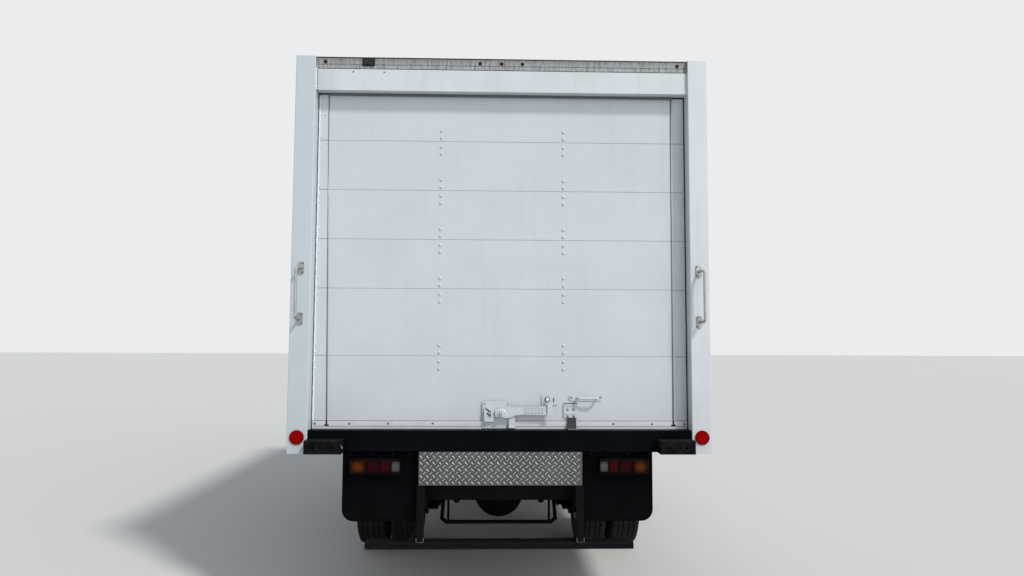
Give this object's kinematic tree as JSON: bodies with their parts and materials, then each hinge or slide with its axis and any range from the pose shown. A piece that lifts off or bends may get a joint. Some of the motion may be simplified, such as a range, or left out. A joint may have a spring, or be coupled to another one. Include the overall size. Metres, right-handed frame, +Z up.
{
  "type": "box truck",
  "caption": "Cab-forward box truck with a dry-freight body, roll-up rear door, tilting cab, swinging doors, steered front and twin rear wheels.",
  "frame": {"origin": "on the ground under the middle of the truck's overall length and width", "axes": "+Z up, +Y to the front of the truck, +X to its right (kerb) side"},
  "size_m": [2.58, 6.14, 3.2689],
  "materials": {
    "frame_black": "satin black paint",
    "cast_metal": "rough casting",
    "aluminium": "mill finish",
    "exhaust_steel": "heat-stained steel",
    "white_paint": "gloss white paint",
    "bumper_grey": "gloss paint",
    "wood": "laminated hardwood",
    "zinc": "zinc plated",
    "strap": "webbing",
    "red_lens": "moulded lens",
    "amber_lens": "moulded lens",
    "black_plastic": "grained",
    "flap_rubber": "matte",
    "lamp_glass": "clear lens",
    "glass": "lightly tinted",
    "seat_fabric": "woven",
    "tyre": "matte"
  },
  "bodies": {
    "chassis": {"frame_rails": "frame_black", "front_bumper": "bumper_grey", "cab_steps": "frame_black", "front_axle": "frame_black", "rear_axle": "frame_black", "leaf_springs": "frame_black", "engine_block": "cast_metal", "drive_shaft": "frame_black", "fuel_tank": "aluminium", "battery_box": "frame_black", "exhaust": "exhaust_steel", "subframe": "frame_black", "cargo_floor": "wood", "side_walls": "white_paint", "front_wall": "white_paint", "roof": "white_paint", "rear_frame": "white_paint", "rear_sill": "frame_black", "dock_steps": "frame_black", "roll_door": "white_paint", "door_trim": "aluminium", "door_hardware": "white_paint", "pull_strap": "strap", "grab_handles": "zinc", "reflectors": "red_lens", "mud_flaps": "flap_rubber", "tail_lamp_housings": "black_plastic", "tail_lamp_lenses": "red_lens", "marker_lamps": "amber_lens", "tread_plate": "aluminium", "underride_guard": "frame_black"},
    "cab": {"cab_nose": "white_paint", "cab_pillars": "white_paint", "cab_sides": "white_paint", "cab_back_wall": "white_paint", "cab_roof": "white_paint", "front_grille": "black_plastic", "headlamps": "lamp_glass", "cab_glass": "glass", "cab_floor": "black_plastic", "dashboard": "black_plastic", "steering_wheel": "black_plastic", "seats": "seat_fabric", "mirrors": "black_plastic"},
    "right_door": {"door_right": "white_paint", "door_glass_right": "glass"},
    "left_door": {"door_left": "white_paint", "door_glass_left": "glass"},
    "right_knuckle": {"knuckle_right": "frame_black"},
    "left_knuckle": {"knuckle_left": "frame_black"},
    "tie_rod": {"tie_rod": "frame_black"},
    "front_right_wheel": {"tyre_front_right": "tyre", "rim_front_right": "white_paint"},
    "front_left_wheel": {"tyre_front_left": "tyre", "rim_front_left": "white_paint"},
    "rear_right_wheels": {"tyres_rear_right": "tyre", "rims_rear_right": "white_paint"},
    "rear_left_wheels": {"tyres_rear_left": "tyre", "rims_rear_left": "white_paint"}
  },
  "joints": [
    {"name": "cab_tilt", "type": "hinge", "parent": "chassis", "child": "cab", "pos_m": [0, 2.97, 0.56], "axis": [-1, 0, 0], "range_deg": [0, 45]},
    {"name": "right_door_swing", "type": "hinge", "parent": "cab", "child": "right_door", "pos_m": [1.002, 2.777, 1.2], "axis": [0, 0, 1], "range_deg": [0, 70]},
    {"name": "left_door_swing", "type": "hinge", "parent": "cab", "child": "left_door", "pos_m": [-1.002, 2.777, 1.2], "axis": [0, 0, -1], "range_deg": [0, 70]},
    {"name": "steer_left", "type": "hinge", "parent": "chassis", "child": "left_knuckle", "pos_m": [-0.76, 1.97, 0.386], "axis": [0, 0, 1], "range_deg": [-35, 35]},
    {"name": "steer_right", "type": "hinge", "parent": "chassis", "child": "right_knuckle", "pos_m": [0.76, 1.97, 0.386], "axis": [0, 0, 1], "range_deg": [-35, 35]},
    {"name": "tie_rod_shift", "type": "slide", "parent": "chassis", "child": "tie_rod", "axis": [1, 0, 0], "range_m": [-0.052, 0.052]},
    {"name": "front_left_spin", "type": "hinge", "parent": "left_knuckle", "child": "front_left_wheel", "pos_m": [-0.833, 1.97, 0.386], "axis": [-1, 0, 0], "continuous": true},
    {"name": "front_right_spin", "type": "hinge", "parent": "right_knuckle", "child": "front_right_wheel", "pos_m": [0.833, 1.97, 0.386], "axis": [-1, 0, 0], "continuous": true},
    {"name": "rear_left_spin", "type": "hinge", "parent": "chassis", "child": "rear_left_wheels", "pos_m": [-0.825, -1.395, 0.386], "axis": [-1, 0, 0], "continuous": true},
    {"name": "rear_right_spin", "type": "hinge", "parent": "chassis", "child": "rear_right_wheels", "pos_m": [0.825, -1.395, 0.386], "axis": [-1, 0, 0], "continuous": true}
  ],
  "couplings": [
    {"joint": "steer_right", "follows": "steer_left", "ratio": 1},
    {"joint": "tie_rod_shift", "follows": "steer_left", "m_per_rad": 0.0845}
  ]
}
